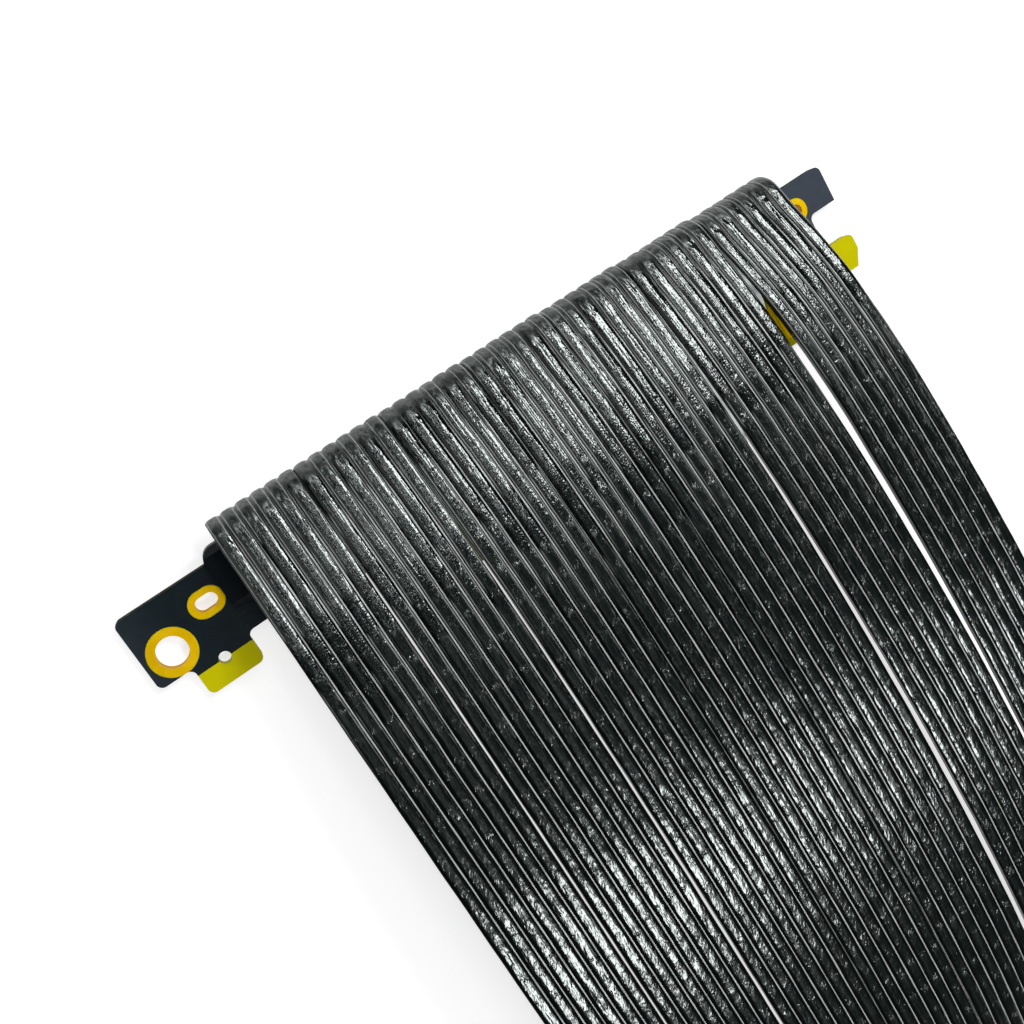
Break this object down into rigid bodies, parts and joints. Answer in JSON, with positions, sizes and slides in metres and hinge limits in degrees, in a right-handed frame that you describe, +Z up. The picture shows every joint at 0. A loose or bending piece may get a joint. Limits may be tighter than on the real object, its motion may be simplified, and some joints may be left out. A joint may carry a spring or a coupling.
{
  "type": "card slot riser cable",
  "caption": "Flat riser cable: a card edge board with a latch hook, folded ribbons of shielded wire pairs, and a slot board that carries an expansion card away from its slot.",
  "frame": {"origin": "on the axis of the card board's round mounting hole, in the plane that the part lies on", "axes": "X along the card board from the round hole to the hook, Y from the contact edge towards the wired edge, Z up from the table"},
  "size_m": [0.12, 0.2213, 0.0205],
  "materials": {
    "laminate": "bare glass laminate, olive yellow, semi-gloss",
    "solder_mask": "black solder mask, smooth satin",
    "gold": "thin gold over copper",
    "cover": "moulded black plastic",
    "ribbon": "wrapped black film, glossy and finely crinkled",
    "back_plate": "black insulating plate, matte",
    "housing": "moulded black plastic, fine grain"
  },
  "bodies": {
    "root": {"card_laminate": "laminate", "card_mask_front": "solder_mask", "card_mask_back": "solder_mask", "card_hole_plating": "gold", "card_slot_plating": "gold", "card_peg_plating": "gold", "card_fingers_front": "gold", "card_fingers_back": "gold", "card_cover": "cover", "ribbon_1": "ribbon", "ribbon_2": "ribbon", "ribbon_3": "ribbon", "ribbon_4": "ribbon", "ribbon_5": "ribbon", "ribbon_6": "ribbon", "ribbon_7": "ribbon", "socket_laminate": "laminate", "socket_mask": "solder_mask", "socket_hole_plating": "gold", "socket_back_plate": "back_plate", "socket_housing": "housing", "socket_contacts_near": "gold", "socket_contacts_far": "gold", "socket_cover": "cover"}
  },
  "joints": []
}
